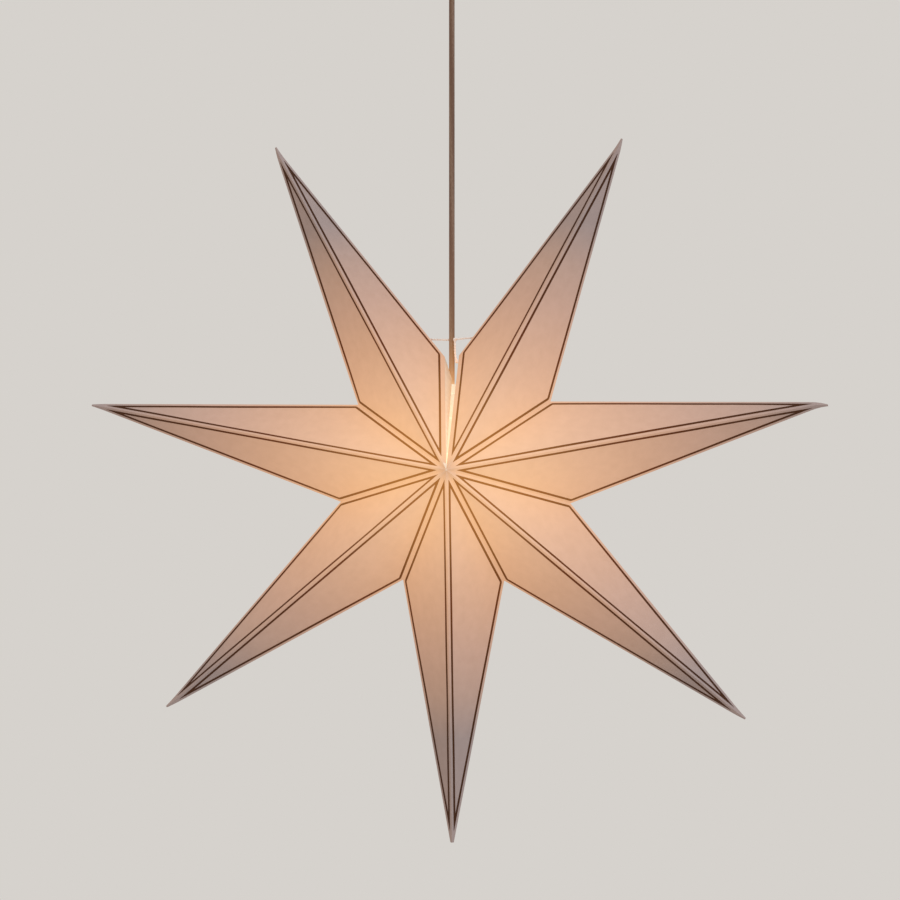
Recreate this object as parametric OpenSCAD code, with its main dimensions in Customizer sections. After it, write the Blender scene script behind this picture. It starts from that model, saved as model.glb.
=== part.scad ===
// Folded paper star lantern: seven hollow points round a small bulb, tied shut above it and hung by a cord.
// The origin is on the ceiling, above the cord. The star faces -Y and hangs below.

/* [Star] */
// Distance from the star's centre to the tip of a point
tip_r = 374; // [300:1:440]
// Distance from the star's centre to the corner between two points
corner_r = 118; // [100:1:140]
// Distance from the star's middle plane to its front apex, and to its back apex
apex_depth = 80; // [65:1:100]
// Angle left open between the first point and the last, in degrees
seam_gap = 7.6; // [5:0.2:12]
// Thickness of the paper
paper_t = 0.4; // [0.2:0.05:0.8]

/* [Glue tabs] */
// Width of the tab folded inwards along each valley
tab_w = 9; // [5:0.5:12]
// Length over which a tab narrows to nothing at the outer corner
tab_corner_cut = 24; // [16:1:40]
// Length over which a tab narrows to nothing at the apex
tab_apex_cut = 24; // [16:1:40]
// Angle by which the left seam tab stands out into the open seam, in degrees
seam_flare = 45; // [0:5:60]

/* [Printed outline] */
// Bare paper between a facet's fold and its printed line
print_inset = 2.9; // [2:0.1:6]
// Width of the printed line
print_w = 2.4; // [0.8:0.1:3]
// Thickness of the printed line on the paper
print_t = 0.15; // [0.1:0.05:0.3]

/* [Tie string] */
// Diameter of the string that ties the seam
string_d = 2.2; // [1:0.1:3]
// Distance of the string's holes from the corners of the seam, along the edge of a point
string_up = 26; // [12:1:40]
// Bare paper between the printed line and the string's holes
string_margin = 0.6; // [0.2:0.1:3]
// Slack of the string in its holes, on the radius
string_slack = 0.4; // [0.2:0.1:1]
// Drop of the string's knot below the level of its holes
string_sag = 1; // [0:0.5:6]
// Length of the loose tail
tail_l = 22; // [15:1:60]

/* [Hanging] */
// Distance from the ceiling to the star's centre
drop = 550; // [540:1:560]
// Distance of the star's centre to the right of the cord
star_x = 1.5; // [-3:0.5:4]
// Diameter of the cord
cord_d = 5.7; // [4:0.1:7]
// Radial gap between the cord and what it passes through
cord_gap = 0.15; // [0.1:0.05:0.5]

/* [Bulb] */
// Radius of the bulb's globe
globe_r = 22.5; // [18:0.5:30]
// Height of the globe's centre above the star's centre
globe_rise = -10; // [-30:1:0]
// Distance from the globe's centre to the top of the bulb's neck
neck_z = 33; // [31:0.5:45]
// Radius of the bulb's neck
neck_r = 11; // [9:0.1:12]
// Radius of the bulb's screw cap
screw_r = 6.9; // [6:0.1:7.5]
// Length of the bulb's screw cap
screw_l = 19; // [15:0.5:22]
// Length of the contact on the end of the screw cap
nub_l = 2; // [1:0.5:3]

/* [Lamp holder] */
// Outer radius of the holder's body
holder_r = 14; // [13:0.5:18]
// Wall of the holder's body and cap
holder_wall = 1.6; // [1:0.1:2]
// Length of the holder's body
body_l = 43; // [38:1:60]
// Length of the narrow skirt below the insert
skirt_l = 7; // [5:0.5:12]
// Length of the bulb's neck inside the skirt
neck_cover = 4; // [1:0.5:5]
// Length of the insert that carries the contacts
insert_l = 26; // [25.5:0.5:30]
// Thickness of the brass screw shell
shell_t = 0.7; // [0.4:0.1:1]
// Height of the holder's domed cap above the body
dome_h = 16; // [10:1:24]
// Length of the cap's sleeve round the body
sleeve_l = 8; // [5:0.5:12]
// Radius of the heads of the two terminal screws
terminal_r = 2; // [1.5:0.1:2.5]

/* [Cord grips] */
// Radius of the grip's threaded stem
stem_r = 5; // [4.5:0.1:6.5]
// Length of the stem below or above its nut
stem_l = 6; // [4:0.5:9]
// Radius of the grip's nut
nut_r = 7; // [6.8:0.1:10]
// Length of the nut
nut_l = 10; // [6:0.5:16]

/* [Ceiling cup] */
// Outer radius of the cup at the ceiling
cup_r = 50; // [40:1:60]
// Height of the cup
cup_h = 50; // [40:1:54]
// Height of the cup's straight rim
rim_h = 18; // [16:0.5:24]
// Radius of the cup's flat bottom
cup_foot_r = 16; // [12:1:24]
// Wall of the cup
cup_wall = 2; // [1.2:0.1:3]
// Width of the ceiling strap
strap_w = 18; // [12:1:24]
// Thickness of the ceiling strap
strap_t = 1.5; // [1:0.1:3]
// Height of the strap's bent ends
strap_end_h = 14; // [13:0.5:15.5]
// Distance between the strap's two ceiling screw holes
strap_hole_gap = 50; // [40:1:60]
// Radius of the strap's ceiling screw holes
strap_hole_r = 2.5; // [2:0.1:3]
// Width of the terminal block
block_w = 20; // [14:1:28]
// Depth of the terminal block
block_d = 14; // [10:1:18]
// Height of the terminal block
block_h = 12; // [8:1:16]
// Radius of the cup's side screws
side_screw_r = 2; // [1.5:0.1:2.5]
// Distance of the side screws below the ceiling
side_screw_z = 9; // [7:0.5:10]

/* [Hidden] */

// The points are numbered clockwise from the seam at the top, seen from the front
points_n = 7;
half = (360 - seam_gap) / (2 * points_n);
// How far each point leans out of true, in degrees, and how much further than tip_r it reaches
lean = [1.9, -0.4, -0.6, -0.2, -0.5, 0, -0.1];
reach = [-1, 3, 4, -6, -1, 0, 1];
// The same for the eight corners, clockwise from the seam's right side to its left side
corner_turn = [1, 0, -0.5, 0, 0, 0, 0.5, 0.5];
corner_reach = [-1, 2, 3, 1.5, 0.5, -1, -0.5, -2];
front = -1;
back = 1;
left_side = 1;
right_side = -1;
star_pos = [star_x, 0, -drop];

// Small clearances: between parts that slide together, at the ends of knots, and for the glue on each tab
fit_gap = 0.1;
knot_gap = 0.15;
glue_t = 0.05;
knot_r = string_d * 0.95;
string_hole_r = string_d / 2 + string_slack;

paper_colour = [0.93, 0.78, 0.66];
print_colour = [0.42, 0.27, 0.14];
string_colour = [0.95, 0.92, 0.88];
cord_colour = [0.52, 0.36, 0.26];
plastic_colour = [0.94, 0.94, 0.92];
brass_colour = [0.78, 0.62, 0.32];
steel_colour = [0.72, 0.73, 0.75];
opal_colour = [1, 0.95, 0.85];

// Points along the cord, from the ceiling down into the lamp holder
cord_route = [
  [0, 0, -13.5], [0, 0, -30], [0, 0, -45], [0, 0, -60], [0, 0, -75], [0, 0, -90], [0, 0, -105],
  [0, 0, -120], [0, 0, -135], [0, 0, -150], [0, 0, -165], [0, 0, -180], [0, 0, -195], [0, 0, -210],
  [0, 0, -225], [0, 0, -240], [0, 0, -255], [0, 0, -270], [0, 0, -285], [0, 0, -300], [0, 0, -315],
  [0, 0, -330], [0, 0, -345], [0, 0, -360], [0, 0, -375], [0, 0, -390], [0, 0, -405], [0, 0, -420],
  [0, 0, -435], [0, 0, -450], [0, 0, -465], [0, 0, -480], [0, 0, -498]
];

// Heights inside the lamp, all measured from the ceiling
globe_z = -drop + globe_rise;
neck_top = globe_z + neck_z;
screw_top = neck_top + screw_l;
nub_top = screw_top + nub_l;
body_low = neck_top - neck_cover;
insert_low = body_low + skirt_l;
insert_top = insert_low + insert_l;
body_top = body_low + body_l;
cap_top = body_top + dome_h;
contact_t = 0.5;
contact_low = nub_top + fit_gap;
socket_r = screw_r + 0.25 + shell_t + fit_gap;

function unit(v) = v / norm(v);

// Places in a point's own frame: x runs along the point, y into the depth and z to the left
function tip(i) = (tip_r + reach[i - 1]) * [cos(lean[i - 1]), 0, sin(lean[i - 1])];
function valley(i, side) = side == left_side ? i - 1 : i;
function corner_angle(i, side) = side * half + corner_turn[valley(i, side)];
function corner(i, side) =
  let (a = corner_angle(i, side)) (corner_r + corner_reach[valley(i, side)]) * [cos(a), 0, sin(a)];
function apex(face) = [0, face * apex_depth, 0];
function facet(i, side, face) = [tip(i), apex(face), corner(i, side)];
function facet_normal(i, side, face) =
  let (p = facet(i, side, face), n = unit(cross(p[1] - p[0], p[2] - p[0])))
  n.y * face > 0 ? n : -n;
function arm_angle(i) = 90 - seam_gap / 2 - half * (2 * i - 1);

// The fold between two facets at a corner, moved in by the paper's thickness
function cavity_shift(i) =
  let (a = facet_normal(i, left_side, front), b = facet_normal(i, right_side, front))
  paper_t * [a.z - b.z, 0, b.x - a.x] / (a.x * b.z - a.z * b.x);

// A triangle moved in from its three sides by the same distance
function inset_triangle(p, inset) =
  let (
    a = norm(p[1] - p[2]),
    b = norm(p[2] - p[0]),
    c = norm(p[0] - p[1]),
    centre = (a * p[0] + b * p[1] + c * p[2]) / (a + b + c),
    in_r = norm(cross(p[1] - p[0], p[2] - p[0])) / (a + b + c)
  )
  [for (q = p) centre + (q - centre) * (in_r - inset) / in_r];

// A place on the outer face of a facet, near the edge that joins its corner to the tip
function string_hole(i, side, face) =
  let (
    c = corner(i, side),
    edge = unit(tip(i) - c),
    n = facet_normal(i, side, face),
    inward = cross(n, edge) * (cross(n, edge).y * face > 0 ? 1 : -1)
  )
  c + edge * string_up + inward * (print_inset + print_w + string_margin + string_hole_r);

// Turns a place or a direction of point i into the star's frame
function turned(i, v) =
  let (a = arm_angle(i)) [v.x * cos(a) - v.z * sin(a), v.y, v.x * sin(a) + v.z * cos(a)];

function tangent(path, k) = unit(path[min(k + 1, len(path) - 1)] - path[max(k - 1, 0)]);

// The string's two ends go through the back of the points on each side of the seam, the left one first
string_ends = [
  [7, right_side, back],
  [1, left_side, back]
];
function end_hole(e) = star_pos + turned(e[0], string_hole(e[0], e[1], e[2]));
function end_normal(e) = turned(e[0], facet_normal(e[0], e[1], e[2]));
function end_knot(e) = end_hole(e) - end_normal(e) * (paper_t + knot_gap + knot_r);
function end_out(e) = end_hole(e) + end_normal(e) * (string_d / 2 + 1);
wrap_r = cord_d / 2 + string_d / 2 + 0.25;
string_z = (end_hole(string_ends[0]).z + end_hole(string_ends[1]).z) / 2 - string_sag;
tie_r = cord_d / 2 + knot_gap + knot_r;
tie_turn = -50;
tie_knot = [tie_r * cos(tie_turn), tie_r * sin(tie_turn), string_z];
left_path = concat(
  [end_knot(string_ends[0]), end_hole(string_ends[0]), end_out(string_ends[0])],
  [for (a = [160:-20:-20]) [wrap_r * cos(a), wrap_r * sin(a), string_z]],
  [tie_knot]
);
right_path = [tie_knot, end_out(string_ends[1]), end_hole(string_ends[1]), end_knot(string_ends[1])];
tail_path = [
  tie_knot,
  tie_knot + [0.2, -0.6, -5],
  tie_knot + [0.1, 0.2, -tail_l * 0.45],
  tie_knot + [0.5, 0.6, -tail_l * 0.75],
  tie_knot + [1.6, 0.4, -tail_l]
];

// A straight-sided solid on a flat base, rising along the given vector
module prism(base, rise) {
  n = len(base);
  up = cross(base[1] - base[0], base[2] - base[0]) * rise > 0;
  ring = up ? base : [for (k = [n - 1:-1:0]) base[k]];
  polyhedron(
    points = concat(ring, [for (p = ring) p + rise]),
    faces = concat(
      [[for (k = [0:n - 1]) k]],
      [[for (k = [n - 1:-1:0]) k + n]],
      [for (k = [0:n - 1]) [k, k + n, (k + 1) % n + n, (k + 1) % n]]
    )
  );
}

// A round rod along a path; ref is a direction that the path never takes
module rod(path, d, sides, ref) {
  n = len(path);
  polyhedron(
    points = [
      for (k = [0:n - 1])
        let (t = tangent(path, k), a = unit(cross(ref, t)), b = cross(t, a))
        for (j = [0:sides - 1])
          path[k] + d / 2 * (a * cos(360 * j / sides) + b * sin(360 * j / sides))
    ],
    faces = concat(
      [[for (j = [0:sides - 1]) j]],
      [[for (j = [sides - 1:-1:0]) (n - 1) * sides + j]],
      [
        for (k = [0:n - 2])
          for (j = [0:sides - 1])
            let (p = k * sides + j, q = k * sides + (j + 1) % sides)
            for (f = [[p, p + sides, q], [q, p + sides, q + sides]]) f
      ]
    )
  );
}

// Stands its children's Z axis along direction n at place p
module along(p, n) {
  translate(p) rotate([0, acos(n.z), atan2(n.y, n.x)]) children();
}

module ring(r_out, r_in, z_low, z_high) {
  translate([0, 0, z_low]) difference() {
    cylinder(r = r_out, h = z_high - z_low, $fn = 96);
    translate([0, 0, -1]) cylinder(r = r_in, h = z_high - z_low + 2, $fn = 96);
  }
}

module in_star(i) {
  translate(star_pos) rotate([0, -arm_angle(i), 0]) children();
}

// The closed form of one point, with its four facets and its two faces towards the neighbours
module point_form(i) {
  polyhedron(
    points = [tip(i), apex(front), apex(back), corner(i, left_side), corner(i, right_side)],
    faces = [[0, 1, 3], [0, 3, 2], [0, 4, 1], [0, 2, 4], [1, 2, 3], [2, 1, 4]]
  );
}

// The hollow of one point: the same four facets moved in and carried on past the star's axis
module point_cavity(i) {
  top = tip(i) + cavity_shift(i);
  reach_in = 1.3;
  polyhedron(
    points = [
      top,
      top + reach_in * (apex(front) - tip(i)),
      top + reach_in * (apex(back) - tip(i)),
      top + reach_in * (corner(i, left_side) - tip(i)),
      top + reach_in * (corner(i, right_side) - tip(i))
    ],
    faces = [[0, 1, 3], [0, 3, 2], [0, 4, 1], [0, 2, 4], [1, 2, 3], [2, 1, 4]]
  );
}

// The tab folded in along the valley between a corner and an apex, turned out by the flare angle.
// A tab that stands out narrows all the way to the apex, as the open seam does.
module glue_tab(i, side, face, flare) {
  c = corner(i, side);
  a = corner_angle(i, side);
  length = norm(apex(face) - c);
  along_fold = unit(apex(face) - c);
  outward = side * [-sin(a), 0, cos(a)];
  inward = unit(-c + (c * along_fold) * along_fold);
  depth = inward * cos(flare) + outward * sin(flare);
  into_point = inward * sin(flare) - outward * cos(flare);
  apex_gap = 8;
  apex_cut = flare == 0 ? tab_apex_cut : length - apex_gap - tab_corner_cut - 1;
  translate(into_point * glue_t) prism([
    c + along_fold * 2,
    c + along_fold * tab_corner_cut + depth * tab_w,
    c + along_fold * (length - apex_gap - apex_cut) + depth * tab_w,
    c + along_fold * (length - apex_gap)
  ], into_point * paper_t);
}

// One folded paper point: four thin facets and the four tabs that hold it to its neighbours
module paper_point(i) {
  color(paper_colour) in_star(i) difference() {
    union() {
      difference() {
        point_form(i);
        point_cavity(i);
      }
      for (side = [left_side, right_side]) {
        for (face = [front, back]) {
          seam_front = i == points_n && side == right_side && face == front;
          glue_tab(i, side, face, seam_front ? seam_flare : 0);
        }
      }
    }
    for (e = string_ends) {
      if (e[0] == i) {
        along(string_hole(e[0], e[1], e[2]), facet_normal(e[0], e[1], e[2]))
          cylinder(r = string_hole_r, h = 4, center = true, $fn = 24);
      }
    }
  }
}

// The printed lines of one point: a narrow frame just inside the edges of each facet
module printed_outline(i) {
  color(print_colour) in_star(i) for (side = [left_side, right_side]) {
    for (face = [front, back]) {
      p = facet(i, side, face);
      n = facet_normal(i, side, face);
      difference() {
        prism(inset_triangle(p, print_inset), n * print_t);
        translate(-n) prism(inset_triangle(p, print_inset + print_w), n * (print_t + 2));
      }
    }
  }
}

// String from a knot inside the last point, round behind the cord, to a knot inside the first point
module tie_string() {
  color(string_colour) {
    rod(left_path, string_d, 8, [0, 0, 1]);
    rod(right_path, string_d, 8, [0, 0, 1]);
    rod(tail_path, string_d * 0.9, 8, [0, 1, 0]);
    for (e = string_ends) translate(end_knot(e)) sphere(r = knot_r, $fn = 12);
    translate(tie_knot) sphere(r = knot_r, $fn = 12);
    translate(tail_path[4]) sphere(r = knot_r * 0.7, $fn = 12);
  }
}

// Opal golf-ball bulb with its screw cap, sealed and in one piece
module bulb() {
  color(opal_colour) translate([0, 0, globe_z]) rotate_extrude($fn = 72) polygon(concat(
    [for (a = [-90:6:30]) globe_r * [cos(a), sin(a)]],
    [
      [neck_r + (globe_r * cos(30) - neck_r) * 0.45, globe_r * sin(30) + (neck_z - globe_r * sin(30)) * 0.35],
      [neck_r, neck_z - 5],
      [neck_r, neck_z],
      [screw_r, neck_z],
      [screw_r, neck_z + screw_l - 3],
      [nub_l + 1.2, neck_z + screw_l],
      [nub_l, neck_z + screw_l + nub_l],
      [0, neck_z + screw_l + nub_l]
    ]
  ));
}

// Brass shell that the bulb screws into
module screw_shell() {
  color(brass_colour) ring(socket_r - fit_gap, screw_r + 0.25, insert_low + 1, screw_top - 2);
}

// Brass contact over the tip of the bulb's cap
module centre_contact() {
  color(brass_colour) translate([0, 0, contact_low]) cylinder(r = 4, h = contact_t, $fn = 48);
}

// Plastic insert that holds the shell, the contact and the terminals
module holder_insert() {
  color(plastic_colour) difference() {
    translate([0, 0, insert_low])
      cylinder(r = holder_r - holder_wall - fit_gap, h = insert_l, $fn = 96);
    translate([0, 0, insert_low - 1])
      cylinder(r = socket_r, h = contact_low + contact_t - insert_low + 1, $fn = 96);
  }
}

module terminal_screws() {
  color(brass_colour) for (x = [-1, 1]) {
    translate([x * (cord_d / 2 + terminal_r + 2), 0, insert_top]) difference() {
      cylinder(r = terminal_r, h = 1.6, $fn = 32);
      translate([-terminal_r - 1, -0.3, 0.9]) cube([2 * terminal_r + 2, 0.6, 2]);
    }
  }
}

// Lower half of the lamp holder: a skirt round the bulb's neck, a ledge and a wider chamber
module holder_body() {
  color(plastic_colour) difference() {
    translate([0, 0, body_low]) cylinder(r = holder_r, h = body_l, $fn = 96);
    translate([0, 0, body_low - 1]) cylinder(r = neck_r + 0.4, h = skirt_l + 2, $fn = 96);
    translate([0, 0, insert_low]) cylinder(r = holder_r - holder_wall, h = body_l, $fn = 96);
  }
}

// Upper half of the lamp holder: a sleeve over the body and a dome with a hole for the grip
module holder_cap() {
  outer = holder_r + fit_gap + holder_wall;
  neck = nut_r + 0.5;
  color(plastic_colour) rotate_extrude($fn = 96) polygon([
    [holder_r + fit_gap, body_top - sleeve_l],
    [outer, body_top - sleeve_l],
    [outer, body_top + 1],
    [outer - 1.5, body_top + dome_h * 0.35],
    [neck + 1.5, cap_top - 1.5],
    [neck, cap_top],
    [stem_r + fit_gap, cap_top],
    [stem_r + fit_gap, cap_top - holder_wall - 0.8],
    [neck - 0.5, cap_top - holder_wall - 0.8],
    [outer - 1.5 - holder_wall, body_top + dome_h * 0.3],
    [holder_r - holder_wall, body_top],
    [holder_r + fit_gap, body_top]
  ]);
}

// A cord grip: a hollow stem through the wall at z = 0 and a nut on the far side of it
module cord_grip() {
  difference() {
    union() {
      translate([0, 0, -stem_l]) cylinder(r = stem_r, h = stem_l + 1, $fn = 64);
      cylinder(r = nut_r, h = nut_l * 0.6, $fn = 64);
      translate([0, 0, nut_l * 0.6]) cylinder(r1 = nut_r, r2 = cord_d / 2 + 1.6, h = nut_l * 0.4, $fn = 64);
    }
    translate([0, 0, -stem_l - 1]) cylinder(r = cord_d / 2 + cord_gap, h = stem_l + nut_l + 2, $fn = 64);
  }
}

module holder_grip() {
  color(plastic_colour) translate([0, 0, cap_top]) cord_grip();
}

module cup_grip() {
  color(plastic_colour) translate([0, 0, -cup_h]) mirror([0, 0, 1]) cord_grip();
}

module cord() {
  color(cord_colour) rod(cord_route, cord_d, 12, [0, 1, 0]);
}

// Cup that hides the ceiling connection: a straight rim, a rounded shoulder and a small flat bottom
module ceiling_cup() {
  shoulder = cup_h - rim_h;
  run = cup_r - cup_foot_r;
  inner_run = run - cup_wall;
  inner_drop = shoulder - cup_wall;
  color(plastic_colour) difference() {
    rotate_extrude($fn = 120) polygon(concat(
      [[cup_r - cup_wall, 0], [cup_r, 0]],
      [for (a = [0:10:90]) [cup_foot_r + run * cos(a), -rim_h - shoulder * sin(a)]],
      [[stem_r + fit_gap, -cup_h], [stem_r + fit_gap, cup_wall - cup_h]],
      [for (a = [90:-10:0]) [cup_foot_r + inner_run * cos(a), -rim_h - inner_drop * sin(a)]]
    ));
    for (turn = [0, 180]) {
      rotate([0, 0, turn]) translate([cup_r - cup_wall - 2, 0, -side_screw_z]) rotate([0, 90, 0])
        cylinder(r = side_screw_r + fit_gap, h = cup_wall + 4, $fn = 48);
    }
  }
}

// The strap's bent ends stand just inside the cup's rim
strap_half = sqrt(pow(cup_r - cup_wall, 2) - pow(strap_w / 2, 2)) - fit_gap;

module ceiling_strap() {
  color(steel_colour) difference() {
    union() {
      translate([-strap_half, -strap_w / 2, -strap_t]) cube([2 * strap_half, strap_w, strap_t]);
      for (x = [-strap_half, strap_half - strap_t]) {
        translate([x, -strap_w / 2, -strap_end_h]) cube([strap_t, strap_w, strap_end_h]);
      }
    }
    for (x = [-1, 1]) {
      translate([x * strap_hole_gap / 2, 0, -strap_t - 1]) cylinder(r = strap_hole_r, h = strap_t + 2, $fn = 48);
      translate([x * (strap_half - strap_t / 2), 0, -side_screw_z]) rotate([0, 90, 0])
        cylinder(r = side_screw_r + fit_gap / 2, h = strap_t + 2, center = true, $fn = 48);
    }
  }
}

// Two screws through the cup's rim into the strap's ends
module cup_screws() {
  head_x = cup_r + fit_gap;
  color(steel_colour) for (turn = [0, 180]) {
    rotate([0, 0, turn]) translate([0, 0, -side_screw_z]) rotate([0, 90, 0]) difference() {
      union() {
        translate([0, 0, strap_half - strap_t - 2])
          cylinder(r = side_screw_r, h = head_x - strap_half + strap_t + 2.5, $fn = 48);
        translate([0, 0, head_x]) cylinder(r = side_screw_r * 1.8, h = 2, $fn = 48);
      }
      translate([-side_screw_r * 2, -0.4, head_x + 1.2]) cube([side_screw_r * 4, 0.8, 2]);
    }
  }
}

module terminal_block() {
  color(plastic_colour) translate([-block_w / 2, -block_d / 2, -strap_t - block_h]) cube([block_w, block_d, block_h]);
}

paper_point(1);  // point_1
paper_point(2);  // point_2
paper_point(3);  // point_3
paper_point(4);  // point_4
paper_point(5);  // point_5
paper_point(6);  // point_6
paper_point(7);  // point_7
printed_outline(1);  // outline_1
printed_outline(2);  // outline_2
printed_outline(3);  // outline_3
printed_outline(4);  // outline_4
printed_outline(5);  // outline_5
printed_outline(6);  // outline_6
printed_outline(7);  // outline_7
tie_string();
bulb();
screw_shell();
centre_contact();
holder_insert();
terminal_screws();
holder_body();
holder_cap();
holder_grip();
cord();
cup_grip();
ceiling_cup();
cup_screws();
ceiling_strap();
terminal_block();
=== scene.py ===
# Paper star lantern: seven folded paper points, lit from inside and hung on a cord from a ceiling cup.
# Places are in metres in the part's own frame: the origin is on the ceiling and the star faces -Y.
import math

import bmesh
import bpy
from mathutils import Matrix, Vector, noise
from mathutils.geometry import barycentric_transform


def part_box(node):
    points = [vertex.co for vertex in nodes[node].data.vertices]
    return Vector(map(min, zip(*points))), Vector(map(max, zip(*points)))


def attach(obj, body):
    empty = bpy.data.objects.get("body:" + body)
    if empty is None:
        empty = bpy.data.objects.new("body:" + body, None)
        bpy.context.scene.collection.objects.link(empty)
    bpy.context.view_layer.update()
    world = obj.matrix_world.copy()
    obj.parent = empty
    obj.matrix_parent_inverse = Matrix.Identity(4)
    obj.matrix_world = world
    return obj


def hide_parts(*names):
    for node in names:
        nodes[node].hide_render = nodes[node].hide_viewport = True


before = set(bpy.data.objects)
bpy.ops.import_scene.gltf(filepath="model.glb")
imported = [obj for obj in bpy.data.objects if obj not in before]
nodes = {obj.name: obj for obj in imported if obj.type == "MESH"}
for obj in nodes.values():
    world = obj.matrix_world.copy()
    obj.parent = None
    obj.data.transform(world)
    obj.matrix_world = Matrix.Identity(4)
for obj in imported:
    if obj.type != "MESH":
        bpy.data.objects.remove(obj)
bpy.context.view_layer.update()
mm = 0.001
scene = bpy.context.scene
scene.view_settings.view_transform = "Standard"
print("frame loaded:", len(nodes), "nodes")

# Camera: a little right of the star's axis and below its middle, looking up a little
camera = {
    "place": (0.2191, -2.4877, -0.6255),
    "forward": (-0.0884, 0.9953, 0.0391),
    "lens": 100,  # mm, on a sensor 36 mm wide
    "sensor": 36,
}

cameraData = bpy.data.cameras.new("camera")
cameraData.lens = camera["lens"]
cameraData.sensor_width = camera["sensor"]
cameraData.clip_end = 60
cameraObject = bpy.data.objects.new("camera", cameraData)
scene.collection.objects.link(cameraObject)
aim = Vector(camera["forward"]).to_track_quat("-Z", "Y").to_matrix().to_4x4()
cameraObject.matrix_world = Matrix.Translation(camera["place"]) @ aim
scene.camera = cameraObject
print("camera placed")


def linearColour(text):
    # An sRGB hex value as the linear colour that a node takes
    channels = [int(text[k:k + 2], 16) / 255 for k in (1, 3, 5)]
    return [c / 12.92 if c <= 0.04045 else ((c + 0.055) / 1.055) ** 2.4 for c in channels] + [1]


def addNode(tree, kind, links=None, **settings):
    # links goes from an input's name or number to a value or to another node's output
    made = tree.nodes.new(kind)
    for name, value in settings.items():
        setattr(made, name, value)
    for key, value in (links or {}).items():
        if isinstance(value, bpy.types.NodeSocket):
            tree.links.new(value, made.inputs[key])
        else:
            made.inputs[key].default_value = value
    return made


def newMaterial(name, **sockets):
    # A material with one Principled shader; sockets are its constant values, by input name
    material = bpy.data.materials.new(name)
    material.use_nodes = True
    shader = material.node_tree.nodes["Principled BSDF"]
    for key, value in sockets.items():
        shader.inputs[key.replace("_", " ")].default_value = value
    place = addNode(material.node_tree, "ShaderNodeTexCoord").outputs["Object"]
    return material, material.node_tree, shader, place


def colourRamp(tree, factor, stops):
    # stops is a list of (position from 0 to 1, hex colour)
    ramp = addNode(tree, "ShaderNodeValToRGB", {0: factor})
    ramp.color_ramp.elements[0].position = stops[0][0]
    ramp.color_ramp.elements[0].color = linearColour(stops[0][1])
    ramp.color_ramp.elements[1].position = stops[-1][0]
    ramp.color_ramp.elements[1].color = linearColour(stops[-1][1])
    for position, colour in stops[1:-1]:
        ramp.color_ramp.elements.new(position).color = linearColour(colour)
    return ramp.outputs["Color"]


def noiseValue(tree, place, grain, detail=2, stretch=(1, 1, 1)):
    # grain is the size of one blotch in millimetres
    squeezed = addNode(tree, "ShaderNodeMapping", {"Vector": place, "Scale": stretch})
    made = addNode(tree, "ShaderNodeTexNoise", {"Vector": squeezed.outputs[0], "Scale": 1 / (grain * mm)})
    made.inputs["Detail"].default_value = detail
    return made.outputs[0]


def addBump(tree, shader, height, depth, strength=1.0):
    # depth is the relief in millimetres
    bump = addNode(tree, "ShaderNodeBump", {"Height": height, "Distance": depth * mm, "Strength": strength})
    tree.links.new(bump.outputs[0], shader.inputs["Normal"])


def addObject(name, bm, materials, body="root"):
    mesh = bpy.data.meshes.new(name)
    bm.to_mesh(mesh)
    bm.free()
    for material in materials:
        mesh.materials.append(material)
    made = bpy.data.objects.new(name, mesh)
    scene.collection.objects.link(made)
    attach(made, body)
    return made


# The star's form, as the frame has it
star = {
    "points": 7,
    "place": Vector((1.5, 0, -550)) * mm,
    "tipRadius": 374 * mm,
    "cornerRadius": 118 * mm,
    "apexDepth": 80 * mm,
    "seamGap": math.radians(7.6),
    "lean": [1.9, -0.4, -0.6, -0.2, -0.5, 0, -0.1],  # degrees, point 1 to 7, clockwise from the seam
    "reach": [-1, 3, 4, -6, -1, 0, 1],  # mm beyond tipRadius
    "cornerTurn": [1, 0, -0.5, 0, 0, 0, 0.5, 0.5],  # degrees, clockwise from the seam's right side
    "cornerReach": [-1, 2, 3, 1.5, 0.5, -1, -0.5, -2],  # mm beyond cornerRadius
    "blunt": [5, 5, 5, 9, 5, 5, 5],  # mm missing from the sharp end of each tip
    # Bend of each tip in mm, in depth and sideways
    "tipCurl": [(0, 1), (0.5, -2.2), (0, 0.6), (0, 0), (0, -0.6), (0, 0.5), (0.4, -1)],
    "curlLength": 16 * mm,
    "paper": 0.4 * mm,
    "glue": 0.05 * mm,
    "cuts": 47,  # grid lines on each facet
}
half = (math.tau - star["seamGap"]) / (2 * star["points"])
front, back, left, right = -1, 1, 1, -1
sides = [(side, face) for side in (left, right) for face in (front, back)]


def armTurn(point):
    angle = math.pi / 2 - star["seamGap"] / 2 - half * (2 * point - 1)
    return Matrix.Translation(star["place"]) @ Matrix.Rotation(-angle, 4, "Y")


def tipPlace(point, beyond=0.0):
    lean = math.radians(star["lean"][point - 1])
    radius = star["tipRadius"] + star["reach"][point - 1] * mm + beyond
    return radius * Vector((math.cos(lean), 0, math.sin(lean)))


def cornerAngle(point, side):
    return side * half + math.radians(star["cornerTurn"][point - 1 if side == left else point])


def cornerPlace(point, side):
    angle = cornerAngle(point, side)
    radius = star["cornerRadius"] + star["cornerReach"][point - 1 if side == left else point] * mm
    return radius * Vector((math.cos(angle), 0, math.sin(angle)))


def apexPlace(face):
    return Vector((0, face * star["apexDepth"], 0))


def facet(point, side, face):
    # Tip, apex and corner of one facet in the point's own frame: X along it, Y into depth, Z to its left
    return [tipPlace(point, star["blunt"][point - 1] * mm), apexPlace(face), cornerPlace(point, side)]


def sidesOf(point, place):
    # Which side of the point's ridge a place is on, and which face of the star
    tip = tipPlace(point)
    return left if place.z * tip.x > place.x * tip.z else right, front if place.y < 0 else back


def facetNormal(point, side, face):
    tip, apex, corner = facet(point, side, face)
    normal = (apex - tip).cross(corner - tip).normalized()
    return normal if normal.y * face > 0 else -normal


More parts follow.
